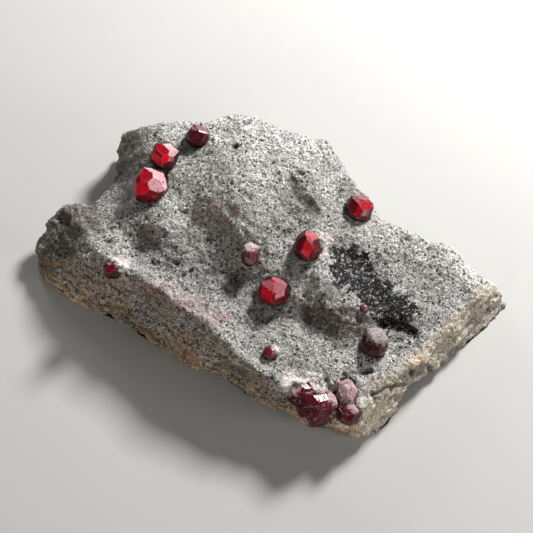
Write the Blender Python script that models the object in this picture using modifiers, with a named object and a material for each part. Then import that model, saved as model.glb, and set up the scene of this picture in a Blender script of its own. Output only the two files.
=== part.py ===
"""Garnet in matrix: red garnet crystals set in a slab of grey mica schist.

The stone lies on its flat underside with the garnet face up. +X runs along the slab to its
thin right tip, +Y to its far edge and +Z up, and the origin is under the middle of the stone.
Lengths in this file are millimetres: each finished piece is scaled to metres once, at the end.
"""

import math
import random

import bmesh
import bpy
import numpy as np
from mathutils import Matrix, Vector, noise

MM = 0.001

# ---- the stone ------------------------------------------------------------------------------

# Foot of the stone, clockwise from the corner of the upper left lobe.
OUTLINE = (
    (-36.6, 37.0), (-31.0, 36.6), (-22.0, 37.0), (-17.0, 37.5), (-7.0, 39.0), (-0.5, 37.0),
    (8.0, 32.5), (14.5, 32.0), (18.5, 24.5), (20.5, 20.0), (25.0, 16.5), (25.2, 11.6),
    (33.2, 8.1), (41.5, 5.5), (47.5, 0.0), (53.5, -2.6), (57.4, -4.8), (57.8, -9.0),
    (54.5, -13.2), (47.5, -15.5), (42.5, -19.5), (38.5, -23.5), (35.0, -25.5), (31.5, -29.0),
    (29.0, -33.0), (27.5, -35.5), (22.5, -39.0), (19.5, -39.0), (13.5, -37.0), (10.5, -36.5),
    (5.0, -33.5), (-0.5, -31.2), (-6.5, -26.0), (-13.0, -22.2), (-16.5, -23.0), (-21.0, -20.0),
    (-28.5, -15.0), (-34.0, -10.8), (-38.0, -9.8), (-43.0, -6.5), (-50.5, -2.5),
    (-56.0, 0.5), (-57.0, 8.5), (-53.2, 12.8), (-48.0, 16.0), (-46.0, 15.5), (-42.2, 17.6),
    (-40.5, 20.8), (-38.0, 23.4), (-37.2, 30.0),
)

# Spot heights of the upper face, (x, y, height), feature by feature. A smooth sheet is laid
# through them.
RELIEF = {
    "crest over the long wall": (
        (-47.5, 13.5, 11.5), (-44.0, 5.5, 13.0), (-38.0, -0.5, 15.0), (-33.0, -4.0, 16.0),
        (-27.5, -7.5, 16.0), (-16.0, -14.5, 16.0), (-11.0, -20.0, 15.5), (-3.0, -27.0, 14.0),
        (2.0, -31.5, 12.5),
    ),
    "valley behind the crest": (
        (-40.5, 6.5, 13.5), (-34.0, 0.5, 13.5), (-25.5, -3.0, 13.0), (-17.5, -5.5, 12.5),
        (-8.5, -11.5, 12.5), (3.0, -18.5, 11.5), (15.0, -20.5, 10.0),
    ),
    "shoulder above the valley": (
        (-32.5, 11.0, 15.0), (-29.5, 3.5, 12.0), (-26.0, 7.5, 16.5), (-22.5, 2.5, 15.5),
        (-19.5, 9.0, 15.5), (-15.0, 4.5, 15.5), (-9.0, 1.5, 17.0), (-7.0, -6.0, 12.0),
        (-1.0, 1.5, 17.5),
    ),
    "upper left lobe": (
        (-31.5, 25.5, 15.0), (-36.5, 27.0, 8.5), (-28.5, 31.0, 16.0), (-33.0, 31.0, 14.0),
        (-34.0, 35.0, 13.5), (-25.0, 18.5, 15.5), (-36.5, 20.0, 10.0), (-26.0, 27.0, 17.0),
        (-21.0, 35.0, 15.5), (-20.5, 28.5, 15.5),
    ),
    "dome": (
        (-17.5, 16.5, 18.0), (-14.0, 27.0, 18.0), (-9.0, 19.0, 21.0), (-12.5, 12.5, 20.0),
        (-5.0, 9.5, 21.0), (-12.5, 7.0, 17.0), (1.0, 22.0, 20.0), (6.5, 14.0, 17.5),
        (11.0, 15.0, 18.0), (12.0, 21.5, 18.5), (1.5, 8.5, 18.5), (18.0, 18.5, 14.0),
    ),
    "far rim": (
        (-9.0, 28.5, 18.5), (-7.0, 33.5, 18.0), (-7.0, 39.0, 15.5), (2.0, 30.0, 17.5),
        (7.5, 31.5, 15.5), (16.0, 28.0, 14.5),
    ),
    "right lobe": (
        (3.5, 4.0, 16.5), (4.5, -1.5, 16.0), (9.5, 8.5, 17.0), (11.0, -6.0, 16.5),
        (13.5, -10.0, 15.5), (17.0, -9.0, 15.0), (16.0, 6.0, 16.0), (21.0, 2.0, 15.0),
        (26.0, 4.5, 14.5), (34.0, -1.5, 11.5), (38.0, 6.5, 11.0), (44.0, 1.0, 10.5),
        (39.5, -9.0, 10.5), (33.5, -12.5, 11.0), (30.0, -6.0, 12.5), (49.5, -5.0, 8.5),
        (54.5, -6.0, 7.0),
    ),
    "foot of the right lobe": ((6.5, -13.0, 11.5), (12.5, -18.0, 10.5)),
    "dark trough": (
        (17.5, -1.0, 14.0), (22.5, -6.5, 12.0), (28.0, -14.0, 10.0), (21.0, -14.5, 11.0),
        (24.5, -20.0, 9.0),
    ),
    "low hump and near edge": (
        (0.5, -20.5, 12.5), (9.0, -24.0, 12.0), (7.0, -29.0, 12.5), (16.0, -28.0, 10.5),
        (34.0, -18.5, 8.5), (29.5, -21.5, 8.5), (27.5, -32.0, 9.5), (17.0, -35.5, 9.5),
        (22.0, -37.5, 8.5),
    ),
}

# Flat broken faces: a point on each, the way it faces in degrees from +X, and its steepness.
BREAKS = {
    "left end": ((-50.0, 13.0, 10.0), 201.0, 35.0),
    "long wall": ((-36.0, -2.0, 15.2), 233.0, 58.0),
    "right bevel": ((40.7, -15.4, 9.0), 316.0, 62.0),
    "far edge": ((-7.0, 40.0, 15.0), 94.0, 78.0),
}

PRISM_TOP = 20.0            # height that the relief is scaled from
PRISM_BOTTOM = -4.0         # rock below the underside, cut away at the end
COARSE_VOXEL = 1.6          # grid of the shaped slab
FINE_VOXEL = 1.0            # grid of the broken faces
LUMPS = ((9.0, 1.1), (3.6, 0.5))   # size and height of the rough lumps all over
LUMP_SEED = 4               # which lumps
LEDGE_STEP = 2.6            # height of the ledges of the layered schist
LEDGE_RUN = 14.0            # and how far one runs along a wall
LEDGE_DEPTH = 1.8           # how far a ledge stands out of a wall at most
WALL_FADE = 1.2             # how fast the ledges fade out as a face turns level
LEVEL_WITHIN = 0.05         # corners this near the underside are set exactly level
WELD = 1e-4                 # corners this near are one corner
STONE_TRIANGLES = 6350

# ---- the garnets ----------------------------------------------------------------------------

GAP = 0.3                   # between a crystal and its socket
EDGE_FACE_REACH = 1.02      # distance of the narrow faces, over that of the rhombic ones
MEAN_REACH = 1.055          # mean radius of such a crystal, over its rhombic faces' distance
FACE_JITTER = 0.07          # how unevenly the faces grew

# Single crystals: centre, size along x, y and z, and how the brightest rhombic face points:
# its bearing from +X, its tilt from level, and the crystal's turn about it.
GARNETS = {
    "garnet_head_large": ((-28.6, 18.3, 16.3), (8.5, 8.5, 8.5), (20.0, 24.0, 10.0)),
    "garnet_head_middle": ((-25.2, 25.9, 17.7), (7.0, 7.0, 6.6), (42.0, 30.0, 35.0)),
    "garnet_head_dark": ((-17.5, 31.8, 16.4), (5.8, 5.6, 5.6), (55.0, 38.0, 0.0)),
    "garnet_shoulder": ((21.3, 12.8, 14.6), (6.5, 6.8, 7.0), (60.0, 30.0, 20.0)),
    "garnet_centre": ((8.9, 1.7, 17.5), (7.0, 7.4, 7.4), (15.0, 32.0, 55.0)),
    "garnet_valley": ((0.8, -8.5, 14.1), (7.0, 7.0, 7.0), (80.0, 20.0, 30.0)),
    "garnet_pale": ((-4.5, -0.3, 17.2), (4.4, 6.0, 5.0), (65.0, 30.0, 45.0)),
    "garnet_crest": ((-36.7, -3.0, 14.9), (4.6, 4.6, 4.8), (60.0, 35.0, 15.0)),
    "garnet_capped": ((24.3, -19.7, 10.2), (6.5, 7.2, 7.4), (70.0, 25.0, 5.0)),
    "garnet_bud": ((0.0, -23.6, 13.4), (3.4, 3.4, 3.4), (30.0, 25.0, 40.0)),
    "garnet_speck": ((21.9, -11.8, 11.8), (2.1, 2.1, 2.1), (50.0, 25.0, 25.0)),
}

# The crystals grown together at the near edge, joined in one piece.
CLUSTER_NAME = "garnet_cluster"
CLUSTER = (
    ((7.0, -31.8, 9.3), (7.0, 7.0, 7.0), (38.0, 18.0, 30.0)),
    ((10.6, -34.6, 8.2), (9.4, 9.4, 9.2), (38.0, 18.0, 30.0)),
    ((17.3, -31.6, 7.8), (5.8, 8.2, 8.0), (40.0, 15.0, 30.0)),
    ((17.8, -36.4, 8.2), (5.6, 5.2, 5.0), (75.0, 20.0, 10.0)),
    ((14.4, -33.4, 7.4), (4.4, 4.4, 4.4), (10.0, 30.0, 15.0)),
)


# ---- scene and materials --------------------------------------------------------------------

def clear_scene():
    for item in list(bpy.data.objects):
        bpy.data.objects.remove(item, do_unlink=True)


def new_collection(name):
    collection = bpy.data.collections.new(name)
    bpy.context.scene.collection.children.link(collection)
    return collection


def new_material(name, colour, roughness, transmission=0.0):
    material = bpy.data.materials.new(name)
    material.use_nodes = True
    shader = material.node_tree.nodes["Principled BSDF"]
    shader.inputs["Base Color"].default_value = (*colour, 1.0)
    shader.inputs["Roughness"].default_value = roughness
    shader.inputs["Metallic"].default_value = 0.0
    shader.inputs["Transmission Weight"].default_value = transmission
    shader.inputs["IOR"].default_value = 1.79 if transmission else 1.5
    material.diffuse_color = (*colour, 1.0)
    return material


# ---- small mesh tools -----------------------------------------------------------------------

def new_object(name, mesh, collection):
    item = bpy.data.objects.new(name, mesh)
    collection.objects.link(item)
    return item


def bake(item):
    """Replace an object's mesh with what its modifiers make of it."""
    graph = bpy.context.evaluated_depsgraph_get()
    mesh = bpy.data.meshes.new_from_object(item.evaluated_get(graph))
    item.modifiers.clear()
    item.data = mesh
    return item


def remesh(item, voxel):
    modifier = item.modifiers.new("Remesh", "REMESH")
    modifier.mode = "VOXEL"
    modifier.voxel_size = voxel
    return bake(item)


def boolean(item, other, operation):
    modifier = item.modifiers.new(operation.title(), "BOOLEAN")
    modifier.operation = operation
    modifier.solver = "EXACT"
    modifier.object = other
    return bake(item)


def cut_flat(solid, point, normal):
    """Cut away what lies in front of a plane and close the cut with one flat face."""
    everything = solid.verts[:] + solid.edges[:] + solid.faces[:]
    cut = bmesh.ops.bisect_plane(
        solid, geom=everything, dist=WELD / 10, plane_co=point, plane_no=normal, clear_outer=True)
    rim = [part for part in cut["geom_cut"] if isinstance(part, bmesh.types.BMEdge)]
    if rim:
        bmesh.ops.edgeloop_fill(solid, edges=rim)


def direction(bearing, tilt):
    """Unit vector that leans by a tilt from straight up, towards a bearing from +X."""
    flat, lean = math.radians(bearing), math.radians(tilt)
    return Vector((math.sin(lean) * math.cos(flat), math.sin(lean) * math.sin(flat), math.cos(lean)))


def vertex_array(mesh):
    values = np.empty(len(mesh.vertices) * 3)
    mesh.vertices.foreach_get("co", values)
    return values.reshape(-1, 3)


# ---- crystals -------------------------------------------------------------------------------

def rhombic_normals():
    """The 12 faces of a dodecahedron."""
    for a in (-1, 1):
        for b in (-1, 1):
            yield Vector((a, b, 0)).normalized()
            yield Vector((a, 0, b)).normalized()
            yield Vector((0, a, b)).normalized()


def edge_normals():
    """The 24 narrow faces that cut its edges."""
    for a in (-1, 1):
        for b in (-1, 1):
            for c in (-1, 1):
                yield Vector((2 * a, b, c)).normalized()
                yield Vector((a, 2 * b, c)).normalized()
                yield Vector((a, b, 2 * c)).normalized()


def crystal_turn(bearing, tilt, turn):
    """Rotation that points one rhombic face to a bearing and a tilt from level."""
    aim = direction(bearing, tilt)
    face = Vector((1, 1, 0)).normalized()
    spin = Matrix.Rotation(math.radians(turn), 4, aim)
    return spin @ face.rotation_difference(aim).to_matrix().to_4x4()


def crystal_mesh(name, size, pose, grow=0.0):
    """A garnet: a block cut down by the faces of its habit, each grown by the same margin."""
    rng = random.Random(name.removesuffix(".socket"))
    width = size[0]
    reach = width / 2 / MEAN_REACH
    solid = bmesh.new()
    bmesh.ops.create_cube(solid, size=4 * reach)
    forms = [(normal, 1.0) for normal in rhombic_normals()]
    forms += [(normal, EDGE_FACE_REACH) for normal in edge_normals()]
    for normal, form in forms:
        distance = reach * form * (1 + rng.uniform(-FACE_JITTER, FACE_JITTER)) + grow
        cut_flat(solid, normal * distance, normal)
    proportions = Matrix.Diagonal((1, size[1] / width, size[2] / width, 1))
    bmesh.ops.transform(solid, matrix=proportions @ crystal_turn(*pose), verts=solid.verts)
    bmesh.ops.recalc_face_normals(solid, faces=solid.faces)
    mesh = bpy.data.meshes.new(name)
    solid.to_mesh(mesh)
    solid.free()
    return mesh


def build_crystal(name, centre, size, pose, collection, grow=0.0):
    crystal = new_object(name, crystal_mesh(name, size, pose, grow), collection)
    crystal.location = centre
    return crystal


def build_single(name, row, collection, grow=0.0):
    label = name if grow == 0.0 else f"{name}.socket"
    return build_crystal(label, *row, collection, grow)


def build_cluster(collection, grow=0.0):
    """The crystals of the cluster, joined into the first one."""
    crystals = [
        build_crystal(f"{CLUSTER_NAME}_{number}", *row, collection, grow)
        for number, row in enumerate(CLUSTER)]
    joined = crystals[0]
    joined.name = CLUSTER_NAME if grow == 0.0 else f"{CLUSTER_NAME}.socket"
    for crystal in crystals[1:]:
        boolean(joined, crystal, "UNION")
        bpy.data.objects.remove(crystal, do_unlink=True)
    return joined


# ---- the stone ------------------------------------------------------------------------------

def sheet_through(pegs):
    """Height of a thin bent sheet laid through spot heights, as a function of x and y arrays."""
    x, y, height = np.array(pegs).T

    def bend(dx, dy):
        square = dx * dx + dy * dy
        return square * np.log(square + 1e-9)

    count = len(x)
    system = np.zeros((count + 3, count + 3))
    system[:count, :count] = bend(x[:, None] - x, y[:, None] - y)
    plane = np.stack([np.ones(count), x, y])
    system[:count, count:] = plane.T
    system[count:, :count] = plane
    weights = np.linalg.solve(system, np.append(height, np.zeros(3)))

    def sheet(at_x, at_y):
        bent = bend(at_x[:, None] - x, at_y[:, None] - y) @ weights[:count]
        return bent + weights[count] + weights[count + 1] * at_x + weights[count + 2] * at_y

    return sheet


def slab_from_outline(collection):
    """The outline as a filled curve, given its thickness and made a closed mesh."""
    curve = bpy.data.curves.new("stone outline", "CURVE")
    curve.dimensions = "2D"
    curve.fill_mode = "BOTH"
    curve.extrude = (PRISM_TOP - PRISM_BOTTOM) / 2
    spline = curve.splines.new("POLY")
    spline.points.add(len(OUTLINE) - 1)
    for point, (x, y) in zip(spline.points, OUTLINE):
        point.co = (x, y, 0, 1)
    spline.use_cyclic_u = True
    outline = new_object("stone outline", curve, collection)
    graph = bpy.context.evaluated_depsgraph_get()
    mesh = bpy.data.meshes.new_from_object(outline.evaluated_get(graph))
    bpy.data.objects.remove(outline, do_unlink=True)
    mesh.transform(Matrix.Translation((0, 0, (PRISM_TOP + PRISM_BOTTOM) / 2)))
    solid = bmesh.new()
    solid.from_mesh(mesh)
    bmesh.ops.remove_doubles(solid, verts=solid.verts, dist=WELD)
    bmesh.ops.recalc_face_normals(solid, faces=solid.faces)
    solid.to_mesh(mesh)
    solid.free()
    return new_object("matrix", mesh, collection)


def press_relief(stone):
    """Scale the slab's height, place by place, to the sheet through the spot heights."""
    sheet = sheet_through([peg for feature in RELIEF.values() for peg in feature])
    points = vertex_array(stone.data)
    raised = points[:, 2] > 0
    share = points[raised, 2] / PRISM_TOP
    points[raised, 2] = share * sheet(points[raised, 0], points[raised, 1])
    stone.data.vertices.foreach_set("co", points.ravel())
    stone.data.update()


def break_faces(stone):
    """Cut the flat broken faces off the slab."""
    solid = bmesh.new()
    solid.from_mesh(stone.data)
    for point, bearing, steepness in BREAKS.values():
        cut_flat(solid, Vector(point), direction(bearing, steepness))
    solid.to_mesh(stone.data)
    solid.free()


def roughen(stone):
    """Lumps all over, and ledges of the layered rock along the walls."""
    noise.seed_set(LUMP_SEED)
    mesh = stone.data
    normals = [normal.vector.copy() for normal in mesh.vertex_normals]
    for vertex, normal in zip(mesh.vertices, normals):
        point = vertex.co.copy()
        for size, height in LUMPS:
            vertex.co += noise.noise_vector(point / size) * height
        wall = max(0.0, 1.0 - abs(normal.z) * WALL_FADE)
        layer = Vector((point.x / LEDGE_RUN, point.y / LEDGE_RUN, point.z / LEDGE_STEP))
        outward = Vector((normal.x, normal.y, 0.0))
        vertex.co += outward * wall * noise.noise(layer) * LEDGE_DEPTH
    mesh.update()


def flatten_underside(stone):
    """Cut the stone off level where it rests."""
    solid = bmesh.new()
    solid.from_mesh(stone.data)
    cut_flat(solid, Vector((0, 0, 0)), Vector((0, 0, -1)))
    solid.to_mesh(stone.data)
    solid.free()


def thin_out(stone):
    """Fewer triangles, most of them taken from the flat places."""
    stone.data.calc_loop_triangles()
    modifier = stone.modifiers.new("Decimate", "DECIMATE")
    modifier.ratio = STONE_TRIANGLES / len(stone.data.loop_triangles)
    modifier.use_collapse_triangulate = True
    bake(stone)
    for vertex in stone.data.vertices:
        if abs(vertex.co.z) < LEVEL_WITHIN:
            vertex.co.z = 0.0


def build_stone(collection):
    stone = slab_from_outline(collection)
    remesh(stone, COARSE_VOXEL)
    press_relief(stone)
    break_faces(stone)
    remesh(stone, FINE_VOXEL)
    roughen(stone)
    flatten_underside(stone)
    thin_out(stone)
    return stone


# ---- the whole specimen ---------------------------------------------------------------------

def shift_to_origin(pieces):
    """The shift that puts the origin under the middle of the whole specimen."""
    corners = np.concatenate([vertex_array(piece.data) + piece.location for piece in pieces])
    middle = (corners.min(axis=0) + corners.max(axis=0)) / 2
    return Vector((-middle[0], -middle[1], 0))


def finish(item, shift, material, parent):
    """Move a piece to its place, scale it to metres and give it its only material."""
    item.location = (item.location + shift) * MM
    item.data.transform(Matrix.Scale(MM, 4))
    item.data.materials.clear()
    item.data.materials.append(material)
    item.data.update()
    item.parent = parent


def main():
    clear_scene()
    parts = new_collection("garnet in matrix")
    cutters = new_collection("cutters")

    schist = new_material("schist", (0.30, 0.29, 0.27), 0.85)
    garnet = new_material("garnet", (0.36, 0.012, 0.03), 0.12, transmission=0.5)

    stone = build_stone(parts)
    crystals = [build_single(name, row, parts) for name, row in GARNETS.items()]
    crystals.append(build_cluster(parts))
    sockets = [build_single(name, row, cutters, grow=GAP) for name, row in GARNETS.items()]
    sockets.append(build_cluster(cutters, grow=GAP))
    for socket in sockets:
        boolean(stone, socket, "DIFFERENCE")

    shift = shift_to_origin([stone, *crystals])
    specimen = new_object("specimen", None, parts)
    finish(stone, shift, schist, specimen)
    for crystal in crystals:
        finish(crystal, shift, garnet, specimen)
    for socket in sockets:
        finish(socket, shift, schist, specimen)
        socket.hide_render = True
        socket.display_type = "WIRE"


main()
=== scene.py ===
# %% [markdown]
# # Garnet in matrix
#
# This lesson dresses a mineral specimen: a broken slab of grey mica schist, which collectors call
# the matrix, with eleven red garnets and a cluster of five more standing in its upper face. Schist
# is old mud that was buried and heated until mica flakes and quartz grains grew in it in layers.
# The garnets grew at the same time, so the rock grips them, and it even coats some of them with a
# crust.
#
# The measured solids of the slab and of each crystal are loaded first and stay where they are. What
# follows gives them what a solid model leaves out: broken grain, layered ledges, crusts, rounded
# crystal edges, and the colours of the rock and of the glassy garnet.

import math
from collections import namedtuple

import bmesh
import bpy
import numpy as np
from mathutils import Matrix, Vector, noise
from mathutils.bvhtree import BVHTree
from mathutils.geometry import intersect_point_line


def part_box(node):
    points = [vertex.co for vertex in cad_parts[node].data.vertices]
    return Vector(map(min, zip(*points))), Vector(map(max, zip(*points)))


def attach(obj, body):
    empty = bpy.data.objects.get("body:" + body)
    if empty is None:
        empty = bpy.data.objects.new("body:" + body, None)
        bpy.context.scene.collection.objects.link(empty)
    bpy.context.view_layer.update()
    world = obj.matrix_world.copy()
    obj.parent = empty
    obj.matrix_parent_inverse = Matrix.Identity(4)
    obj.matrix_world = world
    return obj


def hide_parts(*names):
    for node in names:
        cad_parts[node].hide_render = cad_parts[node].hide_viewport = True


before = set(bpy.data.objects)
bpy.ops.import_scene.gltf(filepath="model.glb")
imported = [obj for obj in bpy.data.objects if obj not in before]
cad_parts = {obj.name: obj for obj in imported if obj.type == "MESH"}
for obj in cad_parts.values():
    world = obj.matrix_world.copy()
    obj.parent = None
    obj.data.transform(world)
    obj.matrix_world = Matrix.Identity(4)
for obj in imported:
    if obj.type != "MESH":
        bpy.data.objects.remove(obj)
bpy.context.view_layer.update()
MM = 0.001
GARNETS = sorted(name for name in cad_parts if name.startswith("garnet_"))
print("garnets:", ", ".join(GARNETS))

# %% [markdown]
# ## Looking down on the slab
#
# A flat stone can't stand on its edge, so it lies on its back with the garnets up, and the camera
# looks down on it from well above. A camera could be aimed with a Track To constraint, but one
# height angle and one distance say the same and are easy to read. The lens is long, as for a
# specimen portrait, so that the near edge isn't drawn much larger than the far one.

# %% Camera
CAMERA_ELEVATION = math.radians(64.0)
CAMERA_DISTANCE = 348.7
CAMERA_AIM = Vector((-1.05, -0.66, 12.0))


def new_object(name, data):
    """An object at the origin, linked to the scene."""
    item = bpy.data.objects.new(name, data)
    bpy.context.scene.collection.objects.link(item)
    return item


lens = bpy.data.cameras.new("camera")
lens.lens = 100
lens.sensor_width = 36
lens.clip_start = 0.01
camera = new_object("camera", lens)
away = Vector((0, -math.cos(CAMERA_ELEVATION), math.sin(CAMERA_ELEVATION)))
camera.location = (CAMERA_AIM + away * CAMERA_DISTANCE) * MM
camera.rotation_euler = (math.radians(90) - CAMERA_ELEVATION, 0, 0)
bpy.context.scene.camera = camera
print("camera at", [round(part, 3) for part in camera.location])

# %% [markdown]
# ## Soft studio light
#
# The relief of a stone shows best in light from one side. A small softbox stands behind the slab to
# the right and fairly low, so each lump shades the hollow beyond it. Three large boxes further off
# and a pale world keep the shaded walls readable: one behind for the far rim, one on the right and
# one in front. Area lamps are used and not a sun, because a garnet facet then mirrors a box with
# edges, as in a studio.

# %% Lamps and world
LOOK_AT = Vector((0, 0, 10.0))
WORLD_LIGHT = 0.10
# Bearing from +X and height angle in degrees, distance and width in mm, watts, colour.
LAMPS = {
    "key light": (54, 34, 420, 80, 4.5, (1.0, 0.985, 0.96)),
    "rim light": (112, 16, 900, 240, 3.0, (1.0, 0.98, 0.95)),
    "side light": (335, 14, 900, 420, 4.6, (1.0, 0.97, 0.92)),
    "front light": (236, 12, 900, 500, 4.4, (1.0, 0.94, 0.87)),
}


def softbox(name, bearing, elevation, distance, width, watts, warmth):
    """A square lamp that faces the stone."""
    turn, rise = math.radians(bearing), math.radians(elevation)
    toward = Vector((
        math.cos(rise) * math.cos(turn), math.cos(rise) * math.sin(turn), math.sin(rise)))
    data = bpy.data.lights.new(name, "AREA")
    data.size = width * MM
    data.energy = watts
    data.color = warmth
    lamp = new_object(name, data)
    lamp.location = (LOOK_AT + toward * distance) * MM
    lamp.rotation_euler = toward.to_track_quat("Z", "Y").to_euler()
    return lamp


lamps = [softbox(name, *settings) for name, settings in LAMPS.items()]
world = bpy.data.worlds.new("studio")
world.use_nodes = True
backdrop = world.node_tree.nodes["Background"]
backdrop.inputs["Color"].default_value = (0.93, 0.95, 1.0, 1)
backdrop.inputs["Strength"].default_value = WORLD_LIGHT
bpy.context.scene.world = world
bpy.context.scene.view_settings.view_transform = "Standard"
print("lamps:", [lamp.name for lamp in lamps])

# %% [markdown]
# ## Shader maths as Python
#
# A material is a graph of nodes, and a graph of sums is hard to read. The class below wraps the
# output of a node, so that `1 - mask * 0.5` adds the Math nodes by itself. On a vector the same
# signs add Vector Math nodes. Every other node comes from its one method `node`.

# %% A node's output that can be used in sums


class Wire:
    """An output of a node. Arithmetic on it adds Math or Vector Math nodes."""

    def __init__(self, tree, output):
        self.tree = tree
        self.output = output

    def node(self, kind, settings, inputs, output=0):
        """Add a node, apply its settings, fill its sockets with values or wires."""
        made = self.tree.nodes.new(kind)
        for name, value in settings.items():
            if name == "stops":
                self.fill_ramp(made.color_ramp, value)
            else:
                setattr(made, name, value)
        for name, value in inputs.items():
            if isinstance(value, Wire):
                self.tree.links.new(value.output, made.inputs[name])
            else:
                made.inputs[name].default_value = value
        return Wire(self.tree, made.outputs[output])

    @staticmethod
    def fill_ramp(ramp, stops):
        """Set a colour ramp's hard steps."""
        ramp.interpolation = "CONSTANT"
        for number, (position, colour) in enumerate(stops):
            stop = ramp.elements[0] if number == 0 else ramp.elements.new(position)
            stop.position = position
            stop.color = (*colour, 1)
        ramp.elements.remove(ramp.elements[-1])

    def maths(self, operation, first, second):
        """Add one Math or Vector Math node, whichever suits this output."""
        kind = "ShaderNodeMath" if self.output.type == "VALUE" else "ShaderNodeVectorMath"
        return self.node(kind, {"operation": operation}, {0: first, 1: second})

    def __add__(self, other):
        return self.maths("ADD", self, other)

    def __sub__(self, other):
        return self.maths("SUBTRACT", self, other)

    def __mul__(self, other):
        return self.maths("MULTIPLY", self, other)

    def __radd__(self, other):
        return self.maths("ADD", other, self)

    def __rsub__(self, other):
        return self.maths("SUBTRACT", other, self)

    def __rmul__(self, other):
        return self.maths("MULTIPLY", other, self)


print("operators:", [name for name in vars(Wire) if name.startswith("__") and name != "__init__"])

# %% [markdown]
# ## A few named sums
#
# These are the words that the finishes below are written in: a soft step between two values, the
# larger of some masks, a mix of two colours, how far a point is from a spot or from a line, and
# smooth noise. Positions are object coordinates in millimetres. Every piece has its origin at the
# world origin, so they are the coordinates of the measured solids too.

# %% Masks and mixes


def step(value, low, high):
    """0 where the value is at low, 1 where it is at high, smooth between. Low may be above high."""
    return value.node(
        "ShaderNodeMapRange", {"interpolation_type": "SMOOTHSTEP"}, {0: value, 1: low, 2: high})


def larger(first, second):
    """Where either mask is 1, the result is 1."""
    return first.maths("MAXIMUM", first, second)


def blend(first, second, share):
    """A mix of two colours, given as wires or as (r, g, b). One of the three is a wire."""
    colours = [item if isinstance(item, Wire) else (*item, 1) for item in (first, second)]
    wire = next(item for item in (share, first, second) if isinstance(item, Wire))
    return wire.node(
        "ShaderNodeMix", {"data_type": "RGBA"}, {0: share, 6: colours[0], 7: colours[1]}, 2)


print("mask words:", step.__name__, larger.__name__, blend.__name__)

# %% Places and directions


def stretched(place, factors):
    """Positions scaled along x, y and z, so that a pattern laid on them is squeezed."""
    return place * Vector(factors)


def near(place, spot):
    """Distance from a spot, in millimetres."""
    return place.node(
        "ShaderNodeVectorMath", {"operation": "DISTANCE"}, {0: place, 1: Vector(spot)}, 1)


def near_line(place, start, end):
    """Distance from a line between two spots, in millimetres."""
    along = Vector(end) - Vector(start)
    offset = place - Vector(start)
    share = offset.node(
        "ShaderNodeVectorMath", {"operation": "DOT_PRODUCT"},
        {0: offset, 1: along / along.length_squared}, 1)
    share = share.node("ShaderNodeClamp", {}, {0: share})
    foot = share.node("ShaderNodeVectorMath", {"operation": "SCALE"}, {0: along, 3: share})
    return offset.node("ShaderNodeVectorMath", {"operation": "DISTANCE"}, {0: offset, 1: foot}, 1)


def cloud(place, size, detail=2.0, roughness=0.55):
    """Smooth noise about 0.5, with lumps of about a size in millimetres."""
    return place.node("ShaderNodeTexNoise", {}, {
        "Vector": place, "Scale": 1 / size, "Detail": detail, "Roughness": roughness})


def facing(place, toward):
    """How far the surface faces a direction, from -1 to 1."""
    normal = place.node("ShaderNodeNewGeometry", {}, {}, "Normal")
    return normal.node(
        "ShaderNodeVectorMath", {"operation": "DOT_PRODUCT"},
        {0: normal, 1: Vector(toward).normalized()}, 1)


def any_of(place, masks):
    """The largest of some masks, or 0 where there are none."""
    total = facing(place, (0, 0, 1)) * 0
    for mask in masks:
        total = larger(total, mask)
    return total


def mesh_note(place, name):
    """A number that is kept with each point of the mesh."""
    return place.node("ShaderNodeAttribute", {"attribute_name": name}, {}, "Fac")


print("one unit of a position is", MM * 1000, "mm")

# %% Start a finish and feed its shader


def new_finish(name):
    """A new material, its Principled shader, and its surface position in millimetres."""
    material = bpy.data.materials.new(name)
    material.use_nodes = True
    shader = material.node_tree.nodes["Principled BSDF"]
    start = Wire(material.node_tree, None)
    metres = start.node("ShaderNodeTexCoord", {}, {}, "Object")
    place = metres.node("ShaderNodeVectorMath", {"operation": "SCALE"}, {0: metres, 3: 1 / MM})
    return material, shader, place


def feed(wire, shader, name):
    """Join a wire to one of a shader's sockets."""
    wire.tree.links.new(wire.output, shader.inputs[name])


print("positions are taken from object coordinates")

# %% [markdown]
# ## The stone: a fine skin to carve
#
# The solid of the stone is made of a few thousand flat triangles, too coarse for grain. Subdivision
# would keep their edges, and sculpting by hand can't be repeated. A voxel remesh lays an even net
# over the whole solid, 0.4 mm from point to point, which is about one grain of the rock. Crusts
# that creep over the crystals are added first, so that the net grows over them too.

# %% Read and write points in millimetres
SKIN_NET = 0.40


def read_points(mesh):
    """The mesh's points as an array."""
    values = np.empty(len(mesh.vertices) * 3)
    mesh.vertices.foreach_get("co", values)
    return values.reshape(-1, 3) / MM


def read_normals(mesh):
    """The mesh's normals, one for each point."""
    values = np.empty(len(mesh.vertices) * 3)
    mesh.vertex_normals.foreach_get("vector", values)
    return values.reshape(-1, 3)


def write_points(mesh, points):
    """Move the mesh's points to new places."""
    mesh.vertices.foreach_set("co", (points * MM).ravel())
    mesh.update()


def evaluated_mesh(item):
    """An object's mesh with its modifiers applied."""
    graph = bpy.context.evaluated_depsgraph_get()
    return bpy.data.meshes.new_from_object(item.evaluated_get(graph))


def solid_copy(name):
    """A measured solid as an editable bmesh, its shared corners welded."""
    solid = bmesh.new()
    solid.from_mesh(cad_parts[name].data)
    bmesh.ops.remove_doubles(solid, verts=solid.verts, dist=1e-6)
    return solid


def noise_at(points, size, shift=0.0):
    """Smooth noise from -1 to 1 at each point, with lumps of about a size."""
    return np.array([noise.noise(Vector(point) + Vector((shift,) * 3)) for point in points / size])


def soft(values, low, high):
    """0 at low, 1 at high, smooth between."""
    share = np.clip((values - low) / (high - low), 0, 1)
    return share * share * (3 - 2 * share)


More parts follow.
